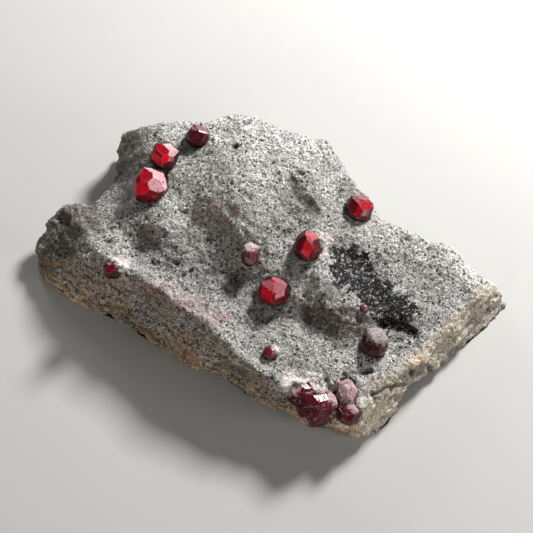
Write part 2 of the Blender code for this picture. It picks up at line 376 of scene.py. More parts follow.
def split_long_edges(solid, longest):
    """Cut a bmesh's triangles until few edges are longer than a length."""
    for _ in range(6):
        long = [edge for edge in solid.edges if edge.calc_length() > longest * MM]
        if not long:
            break
        bmesh.ops.subdivide_edges(solid, edges=long, cuts=1)
        bmesh.ops.triangulate(solid, faces=solid.faces)


print("stone solid has", len(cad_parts["matrix"].data.polygons), "faces")

# %% [markdown]
# ## Crusts on the crystals
#
# Some garnets were never quite freed from the rock: pale matrix still covers a shoulder or a tip.
# Each crust starts as the crystal's own skin, kept only where it faces a given way, with a ragged
# edge from noise. Given a thickness, it becomes a thin shell that the remesh joins to the stone.

# %% Crust shells
# Which way a crust faces, the least cosine from that way that it covers, and its rise in mm.
CRUSTS = {
    "garnet_centre": ((0.80, 0.58, 0.10), 0.72, 0.45),
    "garnet_crest": ((0.80, 0.50, 0.35), 0.62, 0.45),
    "garnet_shoulder": ((-0.1, 0.95, 0.1), 0.80, 0.30),
    "garnet_cluster": ((-0.25, 0.80, 0.15), 0.62, 0.40),
    "garnet_bud": ((0.8, 0.5, 0.2), 0.70, 0.30),
}
CRUST_THICK = 0.9
CRUST_NET = 0.5
# Size in mm and strength of the two noises that make a crust's edge ragged.
CRUST_EDGE = ((2.2, 0.35), (0.8, 0.2))


def crust_shell(name, toward, reach, rise):
    """The part of a crystal's skin that faces a direction, thickened outward by a rise."""
    solid = solid_copy(name)
    bmesh.ops.triangulate(solid, faces=solid.faces)
    split_long_edges(solid, CRUST_NET)
    low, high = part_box(name)
    middle = (low + high) / 2
    aim = Vector(toward).normalized()
    bare = []
    for face in solid.faces:
        centre = face.calc_center_median()
        edge = sum(noise.noise(centre / (size * MM)) * strength for size, strength in CRUST_EDGE)
        if (centre - middle).normalized().dot(aim) + edge < reach:
            bare.append(face)
    bmesh.ops.delete(solid, geom=bare, context="FACES")
    mesh = bpy.data.meshes.new(name + "_crust")
    solid.to_mesh(mesh)
    solid.free()
    shell = new_object(name + "_crust", mesh)
    thick = shell.modifiers.new("Thickness", "SOLIDIFY")
    thick.thickness = CRUST_THICK * MM
    thick.offset = 2 * rise / CRUST_THICK - 1
    return shell


shells = [crust_shell(name, *shape) for name, shape in CRUSTS.items()]
print("crusts:", [shell.name for shell in shells])

# %% [markdown]
# ## One net
#
# The solid of the stone and the crusts are put in one mesh, where they only overlap. A Boolean
# would join them too, but it leaves long thin triangles. The Remesh modifier fills the joined shape
# with small cubes and lays its net round them, so the crusts grow out of the rock.

# %% One net over stone and crusts
body = solid_copy("matrix")
for shell in shells:
    body.from_mesh(evaluated_mesh(shell))
    bpy.data.objects.remove(shell, do_unlink=True)
whole = bpy.data.meshes.new("stone")
body.to_mesh(whole)
body.free()
stone = new_object("stone", whole)
net = stone.modifiers.new("Net", "REMESH")
net.mode = "VOXEL"
net.voxel_size = SKIN_NET * MM
skin = evaluated_mesh(stone)
stone.modifiers.clear()
stone.data = skin
print("net:", len(skin.vertices), "points")

# %% [markdown]
# ## Lumps, grains and pits
#
# The net's points move along their normals by sums of noise. Each layer is one thing seen on the
# rock: low lumps, knots a few millimetres wide, single grains that stand at different heights, and
# small pits where a grain fell out. Grains come from a Voronoi pattern and not from smooth noise,
# because broken grains have flat tops and sharp sides.

# %% Grains and pits
LUMP_SIZE, LUMP_HEIGHT = 5.0, 0.45
KNOT_SIZE, KNOT_HEIGHT = 2.3, 0.34
GRAIN_SIZE, GRAIN_HEIGHT = 1.25, 0.20
CRUMB_SIZE, CRUMB_HEIGHT = 0.8, 0.16
PIT_CELL, PIT_RADIUS, PIT_DEPTH = 2.5, 0.85, 0.65
points = read_points(skin)
normals = read_normals(skin)


def cell_number(seed):
    """A random number from -1 to 1 that belongs to a Voronoi cell."""
    return noise.cell(seed * 7.3)


def broken_grains(points, size):
    """Steps from -1 to 1, one height for each grain, falling away towards its rim."""
    steps = np.empty(len(points))
    for number, point in enumerate(points):
        gaps, seeds = noise.voronoi(Vector(point) / size)
        rim = min((gaps[1] - gaps[0]) / 0.30, 1.0)
        steps[number] = cell_number(seeds[0]) * 0.7 + rim * 0.6 - 0.3
    return steps


def fallen_grains(points, cell, radius):
    """1 at the bottom of a pit, in about one cell of six."""
    pits = np.zeros(len(points))
    for number, point in enumerate(points):
        gaps, seeds = noise.voronoi(Vector(point) / cell)
        if cell_number(seeds[0]) > 0.66:
            pits[number] = max(0.0, 1 - gaps[0] * cell / radius)
    return soft(pits, 0, 0.8)


lumps = noise_at(points, LUMP_SIZE) * LUMP_HEIGHT
knots = noise_at(points, KNOT_SIZE, 7.0) * KNOT_HEIGHT
grains = broken_grains(points, GRAIN_SIZE) * GRAIN_HEIGHT
grains += noise_at(points, CRUMB_SIZE, 3.0) * CRUMB_HEIGHT
pits = fallen_grains(points, PIT_CELL, PIT_RADIUS) * -PIT_DEPTH
print("grains in mm: from", grains.min().round(2), "to", grains.max().round(2))

# %% [markdown]
# ## Ledges and splits of the layered rock
#
# Schist splits along its layers. On the walls that shows as ledges, long in the flat direction and
# thin in height, and along the foot of the walls as teeth where thin plates broke off. A few larger
# pits and splits are set one by one, each a line between two places that is pressed in.

# %% Ledges and teeth
LEDGE_SQUEEZE, LEDGE_SQUARENESS, LEDGE_DEPTH = (0.15, 0.15, 1.05), 0.55, 0.8
TOOTH_SQUEEZE, TOOTH_SIZE, TOOTH_DEPTH, TOOTH_SINK = (1, 1, 0.3), 2.2, 0.9, 0.15
TEETH_END, TEETH_FULL = 4.5, 1.0
wallness = 1 - np.abs(normals[:, 2])
ledges = noise_at(points * LEDGE_SQUEEZE, 1.0, 11.0)
ledges = np.sign(ledges) * np.abs(ledges) ** LEDGE_SQUARENESS * LEDGE_DEPTH
ledges *= soft(wallness, 0.3, 0.8)
teeth = noise_at(points * TOOTH_SQUEEZE, TOOTH_SIZE, 21.0) * TOOTH_DEPTH - TOOTH_SINK
teeth *= soft(wallness, 0.4, 0.9) * soft(points[:, 2], TEETH_END, TEETH_FULL)
print("ledges in mm: from", ledges.min().round(2), "to", ledges.max().round(2))

# %% Splits
# Start and end in mm, half width, depth.
SPLITS = (
    ((-8.6, 27.9), (-8.6, 27.9), 1.3, 0.9), ((7.4, 20.2), (6.7, 20.6), 1.2, 0.9),
    ((-6.2, 35.2), (-5.7, 35.4), 1.0, 0.8), ((-51.4, 14.3), (-49.3, 12.5), 1.5, 1.0),
    ((16.9, -27.5), (22.8, -25.8), 0.8, 0.8), ((23.0, -32.0), (26.0, -30.7), 0.8, 1.0),
    ((26.0, -30.7), (31.0, -27.6), 0.7, 0.8), ((32.6, -25.6), (37.1, -23.2), 1.0, 1.2),
    ((-34.7, -10.4), (-30.4, -14.4), 0.7, 0.8), ((-30.4, -14.4), (-26.6, -17.2), 0.7, 0.9),
    ((4.5, 18.4), (10.4, 10.2), 2.2, 0.7), ((16.0, -12.6), (26.0, -14.5), 1.5, 0.7),
    ((12.7, -29.2), (15.3, -36.5), 0.8, 0.8), ((27.5, -14.0), (33.0, -16.5), 1.2, 0.6),
)


def line_distance(places, start, end):
    """Distance seen from above, from each place to a line between two others."""
    start, along = np.array(start), np.array(end) - np.array(start)
    length = max(along.dot(along), 1e-6)
    share = np.clip((places - start).dot(along) / length, 0, 1)
    return np.linalg.norm(places - start - share[:, None] * along, axis=1)


wobble = np.stack([knots, noise_at(points, 1.9, 31.0) * 0.5], axis=1) * 1.6
splits = np.zeros(len(points))
for start, end, half_width, split_depth in SPLITS:
    apart = line_distance(points[:, :2] + wobble, start, end)
    splits = np.minimum(splits, -split_depth * soft(apart, half_width, half_width * 0.25))

rise = lumps + knots + grains + ledges + pits + teeth + splits
print("rise in mm: from", rise.min().round(2), "to", rise.max().round(2))

# %% [markdown]
# ## Where rock meets crystal
#
# The measured sockets stand 0.3 mm off their crystals, which would show as a dark line. The rock
# really touches them. A tree of the crystals' faces finds the nearest one for every point. Those
# that face a crystal across the gap are moved onto it, those on the rim lean towards it, and the
# grain is damped there so that the rim stays tight. Points near the underside go down to it, so the
# stone lies flat.

# %% Find the crystal that each point faces
crystal_points, crystal_faces = [], []
for name in GARNETS:
    offset = len(crystal_points)
    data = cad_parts[name].data
    crystal_points += [vertex.co / MM for vertex in data.vertices]
    crystal_faces += [[offset + corner for corner in face.vertices] for face in data.polygons]
crystals_tree = BVHTree.FromPolygons(crystal_points, crystal_faces)

REACH = 2.0
gap = np.full(len(points), REACH)
toward = np.zeros_like(points)
for number, point in enumerate(points):
    spot, _, _, distance = crystals_tree.find_nearest(Vector(point), REACH)
    if spot is not None:
        gap[number] = distance
        toward[number] = np.array(spot) - point

unit = toward / np.maximum(gap, 1e-6)[:, None]
looks_at_it = soft((unit * normals).sum(axis=1), 0.0, 0.5)
print("points near a crystal:", int((gap < REACH).sum()))

# %% Close the rock round the crystals
GRAIN_KEPT_OFF = 0.85
HUG = 1.15
COLLAR = 0.6
FLAT_BELOW = 0.25
rise *= 1 - GRAIN_KEPT_OFF * looks_at_it * soft(gap, 1.2, 0.5)
points += normals * rise[:, None]

hug = looks_at_it * soft(gap, 1.0, 0.55)
points += toward * (hug * HUG)[:, None]
collar = (1 - looks_at_it) * soft(gap, 1.3, 0.3)
points += toward * (collar * COLLAR)[:, None]
points[:, 2] = np.where(points[:, 2] < FLAT_BELOW, 0.0, points[:, 2])
write_points(skin, points)
print("points moved onto crystals:", int((hug > 0.5).sum()))

# %% [markdown]
# ## Notes for the colour
#
# The colour follows the relief with painted light: the low places get painted shade, and the tops
# of the grains a painted highlight. How far each point was raised is kept with the mesh, and so is
# how deep it sits in a socket, where fresh pale rock shows through the clear crystal.

# %% Keep the rise and the sockets with the mesh


def keep_note(mesh, name, values):
    """Keep one number with each point of a mesh."""
    note = mesh.attributes.new(name, "FLOAT", "POINT")
    note.data.foreach_set("value", values)


NOTES = {"rise": rise - lumps, "socket": hug}
for name, values in NOTES.items():
    keep_note(skin, name, values)
print("notes kept:", list(NOTES))

# %% [markdown]
# ## One stone
#
# The underside is flat, so the net's many triangles there say nothing. A Decimate modifier joins the
# faces that lie in one plane, and leaves every bump alone. The finished skin then takes the place of
# the measured solid.

# %% Level the underside and parent the stone to the root empty
level = stone.modifiers.new("Level underside", "DECIMATE")
level.decimate_type = "DISSOLVE"
level.angle_limit = math.radians(0.5)
level.delimit = set()
skin = evaluated_mesh(stone)
stone.modifiers.clear()
stone.data = skin
skin.shade_smooth()
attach(stone, "root")
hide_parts("matrix")
print("stone triangles:", sum(len(face.vertices) - 2 for face in skin.polygons))

# %% [markdown]
# ## Colour of the schist
#
# Seen close, schist is salt and pepper: pale quartz and feldspar, grey mica, black biotite. A
# painted image would have to be wrapped round the walls, so the colour is worked out for each place
# in the rock. Cells of a Voronoi texture stand for the grains, and each cell's own random number
# picks its mineral.

# %% Minerals, one for each grain
schist, schist_shader, place = new_finish("schist")
# The number from which a mineral is picked, and its colour.
MINERALS = (
    (0.0, (0.09, 0.087, 0.083)), (0.07, (0.20, 0.195, 0.187)), (0.22, (0.28, 0.274, 0.264)),
    (0.50, (0.335, 0.329, 0.317)), (0.78, (0.40, 0.393, 0.378)), (0.93, (0.66, 0.647, 0.62)),
)
WANDER = 0.35
FINE_PER_MM, COARSE_PER_MM = 2.6, 1.3


def grain_number(cells, per_mm):
    """One random number from 0 to 1 for each grain."""
    colour = cells.node(
        "ShaderNodeTexVoronoi", {}, {"Vector": cells, "Scale": per_mm, "Randomness": 1.0}, 1)
    return colour.node("ShaderNodeSeparateColor", {}, {0: colour})


def minerals(number):
    """The colour of a grain, picked by its number."""
    return number.node("ShaderNodeValToRGB", {"stops": MINERALS}, {0: number})


wander = place.node("ShaderNodeTexNoise", {}, {"Vector": place, "Scale": 1.6, "Detail": 2.0}, 1)
crooked = place + (wander - Vector((0.5,) * 3)) * Vector((WANDER,) * 3)
fine = grain_number(stretched(crooked, (1, 1, 1.4)), FINE_PER_MM)
coarse = grain_number(stretched(crooked, (1, 1, 1.6)), COARSE_PER_MM)
colour = blend(minerals(fine), minerals(coarse), 0.40)
print("minerals:", len(MINERALS))

# %% [markdown]
# ## Beads, sparks, chinks and pinholes
#
# Some grains stand out: round pale beads and bright sparks of quartz. Chinks between grains and
# pinholes where one fell out are painted near black, a painted shade for the gaps and pits. Beads
# and pinholes are dots in the middle of some Voronoi cells. Sparks and chinks have no regular form,
# so they are the highest and the lowest parts of a noise. Then the low places get painted shade and
# the tops a painted highlight, by the rise that was kept with the mesh.

# %% Single grains and the relief
BEAD, SPARK = (0.82, 0.80, 0.77), (0.70, 0.685, 0.66)
CHINK_SHADE, PINHOLE_SHADE = (0.030, 0.028, 0.025), (0.018, 0.017, 0.016)
LOW_PLACE_SHADE, TOP_HIGHLIGHT = (0.10, 0.095, 0.09), (0.70, 0.68, 0.655)


def dots(cells, per_mm, radius, share):
    """A mask of round dots, one in the middle of a share of the grains of a Voronoi pattern."""
    distance = cells.node("ShaderNodeTexVoronoi", {}, {"Vector": cells, "Scale": per_mm})
    picked = step(grain_number(cells, per_mm) - share, 0.0, -0.02)
    return step(distance, radius * per_mm, radius * per_mm * 0.7) * picked


aside = crooked + Vector((9, 4, 7))
busy = cloud(place, 8.0, 2.0) * 0.9
pinholes = larger(dots(crooked, 0.75, 0.38, busy + 0.12), dots(aside, 1.5, 0.22, busy + 0.28))
beads = dots(aside, 1.2, 0.24, 0.55)
sparks = step(cloud(crooked, 0.55, 1.5), 0.60, 0.66)
chinks = step(cloud(aside, 0.65, 1.5), 0.39, 0.33)
colour = blend(colour, BEAD, beads * 0.80)
colour = blend(colour, SPARK, sparks * 0.60)
# Painted shade: chinks and pinholes are painted near black for the shade in the gaps and pits.
colour = blend(colour, CHINK_SHADE, chinks * 0.72)
colour = blend(colour, PINHOLE_SHADE, pinholes * 0.92)
relief = mesh_note(place, "rise")
# Painted shade in the low places, and a painted highlight on the raised tops.
colour = blend(colour, LOW_PLACE_SHADE, step(relief, -0.05, -0.65) * 0.75)
colour = blend(colour, TOP_HIGHLIGHT, step(relief, 0.22, 0.60) * 0.35)
print("nodes so far:", len(schist.node_tree.nodes))

# %% [markdown]
# ## Patches over the grains
#
# No rock is one grey all over. A black mineral patch lies between the garnets on the right. Beside
# it a dark brown patch is painted shade on the shaded side of a hump, and the left end, in a brown
# tone, and the upper left lobe get painted shade too. Each patch is a line between two places with
# a radius, and noise makes its edge ragged. The patches could be painted on the points of the mesh,
# but places in millimetres are easier to read and to move. Single pale grains are left in the dark.

# %% Dark patches
BLACK_MINERAL, BROWN_SHADE = (0.006, 0.006, 0.008), (0.05, 0.034, 0.022)
LEFT_END_SHADE, UPPER_LOBE_SHADE = (0.075, 0.062, 0.050), (0.12, 0.108, 0.095)
FLECK = (0.42, 0.41, 0.40)
ragged = cloud(place, 3.0, 3.0)


def patch(distance, radius, waver):
    """A mask that is 1 well inside a radius, with an edge that wavers."""
    return step(distance + (ragged - 0.5) * waver, radius, radius * 0.45)


def long_patch(start, end, radius, waver):
    """A ragged patch along a line between two places."""
    return patch(near_line(place, start, end), radius, waver)


seam = near_line(place, (17.0, -2.0, 15.0), (30.3, -13.4, 9.9)) + (ragged - 0.5) * 13
black = step(seam + (coarse - 0.5) * 2.4, 4.8, 3.6)
# Painted shade, dark brown, on the shaded side of the hump below the black patch.
brown_shade_patch = long_patch((10.0, -13.5, 12.5), (23.5, -17.5, 9.8), 4.4, 5.0)
# Painted shade on the left end, in a brown tone, and on the upper left lobe.
left_end_shade = long_patch((-55.0, 7.0, 6.0), (-46.0, 12.5, 10.0), 9.5, 5.0)
lobe_shade = long_patch((-35.0, 31.0, 13.0), (-37.0, 22.0, 10.0), 9.0, 7.0)
bare = step(coarse, 0.76, 0.84) * 0.30
colour = blend(colour, BLACK_MINERAL, black * (0.98 - bare))
colour = blend(colour, BROWN_SHADE, brown_shade_patch * (0.80 - bare))
colour = blend(colour, LEFT_END_SHADE, left_end_shade * (0.85 - bare))
colour = blend(colour, UPPER_LOBE_SHADE, lobe_shade * (0.75 - bare))
dark = larger(larger(black, brown_shade_patch), larger(left_end_shade, lobe_shade))
colour = blend(colour, FLECK, dark * sparks * 0.75)
print("nodes so far:", len(schist.node_tree.nodes))

# %% Darker and paler stretches: painted shade in the valley, painted highlight on the rims
DARKER, RIM_HIGHLIGHT = Vector((0.74, 0.74, 0.75)), Vector((1.30, 1.30, 1.29))
grey = long_patch((21.5, 4.0, 15.0), (39.5, -4.0, 11.0), 8.0, 6.0)
# Painted shade along the valley below the dome. The grey band on the right lobe is the rock's own
# tone.
valley_shade = long_patch((-24.0, -2.0, 13.0), (14.0, -24.0, 11.0), 10.0, 8.0)
colour = blend(colour, colour * DARKER, larger(grey, valley_shade) * 0.9)
# Painted highlight along the far rim and the right rim.
far_rim_highlight = long_patch((-19.0, 36.0, 16.0), (6.0, 31.0, 16.0), 7.5, 6.0)
right_rim_highlight = long_patch((38.0, 5.0, 11.0), (54.0, -4.5, 7.0), 5.5, 5.0)
colour = blend(colour, colour * RIM_HIGHLIGHT, larger(far_rim_highlight, right_rim_highlight))
print("nodes so far:", len(schist.node_tree.nodes))

# %% [markdown]
# ## Weathered walls
#
# The near walls are the slab's broken edge. Water seeped in along the layers there and left iron
# behind, so they are brown above and a warmer tan near the foot, in level streaks. One mask picks
# the faces that look to the front left, another the low ones, and a noise that is squeezed flat
# makes the streaks.

# %% Weathered walls
FOOT_WARMTH, WALL_WARMTH = Vector((1.10, 0.84, 0.58)), Vector((0.90, 0.76, 0.64))
DARK_STREAK, TAN_STREAK = (0.045, 0.034, 0.024), (0.50, 0.36, 0.20)
wall = step(facing(place, (-0.5, -0.85, 0.0)), 0.50, 0.78)
height = place.node("ShaderNodeSeparateXYZ", {}, {0: place}, 2)
low = step(height, 8.6, 6.0)
streak = cloud(stretched(place, (0.35, 0.35, 1.6)), 1.6, 3.0, 0.7)
colour = blend(colour, colour * FOOT_WARMTH, wall * low)
colour = blend(colour, colour * WALL_WARMTH, wall * (1 - low))
colour = blend(colour, DARK_STREAK, wall * step(streak, 0.50, 0.38) * 0.75)
colour = blend(colour, TAN_STREAK, wall * low * step(streak, 0.56, 0.68) * 0.6)
print("nodes so far:", len(schist.node_tree.nodes))

# %% [markdown]
# ## Beige and pink rock
#
# The slanting break beside the right tip and the foot near it are fresher, beige rock. The break is
# a plane, so a plane picks it: a point on it and the way it faces. Along the crest at the near left
# the rock is faintly pink, and streaked like the wall below.

# %% Beige break and pink crest
BREAK_POINT, BREAK_FACES = Vector((40.4, -15.1, 9.0)), Vector((0.635, -0.613, 0.469))
BEIGE, BEIGE_TINT = (0.56, 0.50, 0.42), Vector((1.08, 0.99, 0.86))
PINK, PINK_TINT = (0.38, 0.32, 0.32), Vector((1.10, 0.90, 0.91))
depth = place.node(
    "ShaderNodeVectorMath", {"operation": "DOT_PRODUCT"}, {0: place, 1: BREAK_FACES}, 1)
on_break = step(depth - BREAK_POINT.dot(BREAK_FACES), -1.4, -0.3)
beige = larger(on_break, long_patch((19.5, -37.0, 5.0), (32.5, -28.0, 5.0), 8.0, 6.0))
colour = blend(colour, colour * BEIGE_TINT, beige)
colour = blend(colour, BEIGE, beige * 0.30)

pink = long_patch((-26.7, -7.8, 15.0), (-11.2, -15.3, 16.0), 3.0, 5.0)
colour = blend(colour, colour * PINK_TINT, pink)
colour = blend(colour, PINK, pink * step(streak, 0.40, 0.60) * 0.4)
print("nodes so far:", len(schist.node_tree.nodes))

# %% [markdown]
# ## Rust, spots of painted light and painted shade, and pale rind
#
# Iron weathers out as rust in single spots. Some other spots are paler, a painted light, and some
# darker, a painted shade. Where the rock was pulled off a crystal a pale rind stays on, and the
# sockets show the same pink grey rock. Each spot is a place and a radius in millimetres, and all the
# spots of a kind make one mask.

# %% Places of the spots
RUST = (
    ((-53.5, 12.3, 6.8), 1.3), ((-10.3, 18.9, 20.3), 1.0), ((-13.1, 12.0, 18.5), 1.6),
    ((-7.9, 10.1, 20.2), 1.5), ((-0.2, -13.5, 11.1), 1.1), ((-18.9, -19.2, 5.6), 5.0),
    ((-29.2, -15.2, 3.5), 2.6), ((34.8, -22.4, 7.8), 1.4),
)
# Spots of painted light.
PAINTED_LIGHT_SPOTS = (
    ((24.5, 5.6, 14.9), 6.5), ((19.3, -24.0, 9.8), 5.0), ((34.5, -22.4, 8.3), 3.0),
    ((22.7, -35.8, 4.7), 5.5),
)
# Spots of painted shade.
PAINTED_SHADE_SPOTS = (
    ((-30.5, 9.8, 15.6), 5.5), ((-7.9, -24.5, 7.8), 4.0), ((27.0, -30.4, 8.6), 3.5),
    ((7.3, 13.8, 18.2), 4.5), ((-49.3, 7.3, 9.1), 5.0),
)
RIND = (
    ((-35.1, -0.6, 14.8), 2.5), ((12.7, 4.6, 17.0), 2.3), ((11.7, 1.6, 16.5), 1.9),
    ((4.5, -29.8, 12.0), 2.6), ((9.0, -29.6, 11.8), 2.6), ((13.7, -30.5, 11.0), 2.4),
    ((14.1, -33.6, 10.5), 2.2), ((20.3, -33.5, 9.5), 1.6), ((1.1, -22.6, 13.0), 1.3),
)
print("spots:", len(RUST + PAINTED_LIGHT_SPOTS + PAINTED_SHADE_SPOTS + RIND))

# %% Rust and pale rind
RUST_TONE, DULL_GREY, SOCKET_TONE = (0.30, 0.15, 0.055), (0.16, 0.15, 0.14), (0.36, 0.26, 0.25)
RIND_DARK, RIND_PALE = (0.42, 0.30, 0.285), (0.68, 0.64, 0.62)
PAINTED_LIGHT_TINT, PAINTED_SHADE_TINT = Vector((1.30, 1.29, 1.28)), Vector((0.72, 0.71, 0.70))


def stains(spots):
    """A mask of ragged spots."""
    return any_of(
        place, [patch(near(place, spot), radius * 1.3, radius) for spot, radius in spots])


broad = cloud(place, 14.0, 2.0)
colour = blend(colour, RUST_TONE, stains(RUST) * (0.15 + fine * 0.45))
colour = blend(colour, DULL_GREY, step(broad, 0.60, 0.30) * 0.35 * (1 - black))
# Painted light in some spots and painted shade in others.
colour = blend(colour, colour * PAINTED_LIGHT_TINT, stains(PAINTED_LIGHT_SPOTS))
colour = blend(colour, colour * PAINTED_SHADE_TINT, stains(PAINTED_SHADE_SPOTS))
rind_tone = blend(RIND_DARK, RIND_PALE, step(fine, 0.05, 0.6))
colour = blend(colour, rind_tone, stains(RIND) * 0.9)
socket = mesh_note(place, "socket")
colour = blend(colour, SOCKET_TONE, socket * socket * socket)
feed(colour, schist_shader, "Base Color")
print("nodes so far:", len(schist.node_tree.nodes))

# %% [markdown]
# ## Dull rock with a fine bump
#
# Broken rock is dull. Only a few grains, flakes of mica, are smooth enough to glint. What is finer
# than the net of the mesh comes from a Bump node: pebbly noise, raised grains, sunken pinholes and
# chinks. The large forms stay in the mesh, where they cast real shadows.

# %% Roughness and bump
ROUGH, MICA_SMOOTHER = 0.95, 0.45
ROCK_SHINE = 0.3
ROCK_BUMP = 0.45
feed(ROUGH - step(fine, 0.90, 0.95) * MICA_SMOOTHER, schist_shader, "Roughness")
schist_shader.inputs["Specular IOR Level"].default_value = ROCK_SHINE
pebbly = cloud(place, 1.5, 4.0, 0.6)
bumps = pebbly * 3.0 + fine * 0.25 + coarse * 0.45 + (beads + sparks) * 0.4
bumps = bumps - pinholes * 0.8 - chinks * 0.5
bump = bumps.node(
    "ShaderNodeBump", {}, {"Strength": 1.0, "Distance": ROCK_BUMP * MM, "Height": bumps})
feed(bump, schist_shader, "Normal")
stone.data.materials.clear()
stone.data.materials.append(schist)
print("schist nodes:", len(schist.node_tree.nodes))

# %% [markdown]
# ## The crystals
#
# A garnet grows as a ball of rhombic faces with narrower faces between them. The solids have those
# faces, with edges as sharp as a knife. A Bevel rounds the edges a little, which is what makes them
# catch the light, and a very low noise keeps the faces from looking machined. How near each point
# lies to an edge is kept with the mesh, because edges are rubbed first.

# %% Rounded edges and a fine net
EDGE_ROUND = 0.06
FACET_NET = 0.32
SAME_FACE, SHARP_EDGE = math.radians(1.0), math.radians(8)


def rounded_crystal(name):
    """A crystal with rounded edges as a bmesh, and the lines of the edges that it had."""
    solid = solid_copy(name)
    bmesh.ops.dissolve_limit(
        solid, angle_limit=SAME_FACE, verts=solid.verts, edges=solid.edges)
    sharp = [edge for edge in solid.edges if edge.calc_face_angle(0) > SHARP_EDGE]
    ridges = [(edge.verts[0].co / MM, edge.verts[1].co / MM) for edge in sharp]
    bmesh.ops.bevel(
        solid, geom=sharp, offset=EDGE_ROUND * MM, segments=2, profile=0.6, affect="EDGES",
        clamp_overlap=True)
    bmesh.ops.triangulate(solid, faces=solid.faces)
    split_long_edges(solid, FACET_NET)
    solid.normal_update()
    return solid, ridges


print("edges rounded by", EDGE_ROUND, "mm, facets cut to", FACET_NET, "mm")

# %% Wear
WORN_WIDTH = 0.45
# How far a face is uneven, in mm: most crystals, and three that are rougher.
EVEN = 0.05
UNEVEN = {"garnet_cluster": 0.10, "garnet_capped": 0.10, "garnet_bud": 0.10}


def ridge_distance(spot, ridges):
    """Distance in millimetres from a spot to the nearest edge of a crystal."""
    nearest = WORN_WIDTH
    for start, end in ridges:
        foot, share = intersect_point_line(spot, start, end)
        if -0.05 < share < 1.05:
            nearest = min(nearest, (foot - spot).length)
    return nearest


def wear_crystal(solid, ridges, unevenness):
    """Note how near each point is to an edge, and make the faces slightly uneven."""
    worn = solid.verts.layers.float.new("worn")
    for vertex in solid.verts:
        spot = vertex.co / MM
        vertex[worn] = 1 - min(ridge_distance(spot, ridges) / WORN_WIDTH, 1)
        ripple = noise.noise(spot / 1.9) + noise.noise(spot / 0.7) * 0.5
        vertex.co += vertex.normal * ripple * unevenness * MM


print("rougher crystals:", ", ".join(UNEVEN))

# %% Crystal skins


def crystal_piece(name):
    """A crystal with rounded edges and slightly uneven faces, in place of its solid."""
    solid, ridges = rounded_crystal(name)
    wear_crystal(solid, ridges, UNEVEN.get(name, EVEN))
    mesh = bpy.data.meshes.new(name + "_skin")
    solid.to_mesh(mesh)
    solid.free()
    mesh.shade_smooth()
    piece = new_object(name + "_skin", mesh)
    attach(piece, "root")
    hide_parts(name)
    return piece


crystals = {name: crystal_piece(name) for name in GARNETS}
for name, piece in crystals.items():
    print(name, len(piece.data.polygons), "triangles")

# %% [markdown]
# ## Garnet, glassy and frosted
#
# Almandine garnet is a deep red glass with a high index of refraction. Its colour comes from the
# light it swallows on the way through, so the shader transmits light and a Volume Absorption dyes
# it. Some faces glow where light comes back out of the crystal, and they get a brighter red: a
# painted glow. Faces that turn away from the camera, down towards the socket, get a painted shade
# of black red. Other faces, and ragged caps of rock film, are frosted: pale, pink and dull. On the
# pale faces the frost is partly a painted highlight. A second shader makes the frost and a Mix
# Shader lays it on. A flat face looks one way all over, so its direction picks it, and a facet is
# either clear or frosted, as on real crystals. Worn edges get a little frost too.

# %% Faces and caps
FACE_FROM, FACE_FULL = 0.93, 0.95
CAP_RAGGED, CAP_EDGE = 5, 0.25


def faces(place, directions):
    """A mask of the crystal faces that look along one of some directions."""
    return any_of(
        place, [step(facing(place, way), FACE_FROM, FACE_FULL) for way in directions])


def caps(place, spots, edge_noise):
    """A mask of ragged caps of rock film, each given as a spot and a radius."""
    ragged_cap = (edge_noise - 0.5) * CAP_RAGGED
    return any_of(place, [
        step(near(place, spot) + ragged_cap, radius + CAP_EDGE, radius - CAP_EDGE)
        for spot, radius in spots])


print("a face is picked within", round(math.degrees(math.acos(FACE_FROM)), 1), "degrees")

# %% Garnet colours
RED, CRIMSON, WINE = (0.94, 0.003, 0.026), (0.40, 0.003, 0.017), (0.21, 0.003, 0.013)
MAROON, SHADE_BLACK_RED, DUSK = (0.085, 0.005, 0.010), (0.022, 0.003, 0.005), (0.16, 0.035, 0.055)
DREGS, PORT = (0.05, 0.006, 0.012), (0.11, 0.006, 0.013)
ROSE, ASH, CHALK = (0.43, 0.285, 0.32), (0.26, 0.24, 0.24), (0.36, 0.325, 0.33)
BLUSH, AMBER, PEARL = (0.18, 0.095, 0.112), (0.32, 0.09, 0.10), (0.31, 0.24, 0.25)
DYE, DYE_DENSITY = (0.9, 0.05, 0.08), 110
GARNET_IOR = 1.79
CLEAR = 0.32
GLASS_SHINE = 0.04


def clear_garnet(shader, place, look, mottle):
    """Sets the clear shader: faces with a painted glow, dull faces, and a painted shade of black red
    towards the socket.
    """
    # Painted shade: faces that turn away from the camera, down towards the socket, go to a black
    # red.
    shade = step(facing(place, (-0.1, -0.4, 0.9)) + (mottle - 0.5) * 0.3, 0.30, 0.85)
    patches = 0.50 + grain_number(place + (mottle - 0.5) * 0.8, 0.9) * 0.50
    # Painted glow: the lit faces get the brighter glow colour.
    bright = faces(place, look.lit) * (0.95 + (mottle - 0.5) * 1.4)
    lit_body = blend(look.body, look.glow, bright)
    feed(blend(SHADE_BLACK_RED, lit_body, larger(shade * patches, bright * 0.9)), shader, "Base Color")
    feed(0.12 + mottle * 0.16, shader, "Roughness")
    shader.inputs["Transmission Weight"].default_value = CLEAR
    shader.inputs["Specular IOR Level"].default_value = GLASS_SHINE
    shader.inputs["IOR"].default_value = GARNET_IOR


def dull_film(place, look, crust, specks, bump):
    """The frosted shader, partly a painted highlight on the pale faces: a speckled film, with crumbs
    of the body's colour in a crust.
    """
    thin = Vector(look.frost).lerp(Vector(look.body), 0.60)
    film = blend(look.frost, thin, step(specks, 0.58, 0.38) * 0.9)
    film = blend(film, look.body, crust * dots(place, 1.6, 0.24, 0.55) * 0.8)
    return place.node("ShaderNodeBsdfPrincipled", {}, {
        "Base Color": film, "Roughness": 0.7, "Specular IOR Level": 0.12, "Normal": bump})


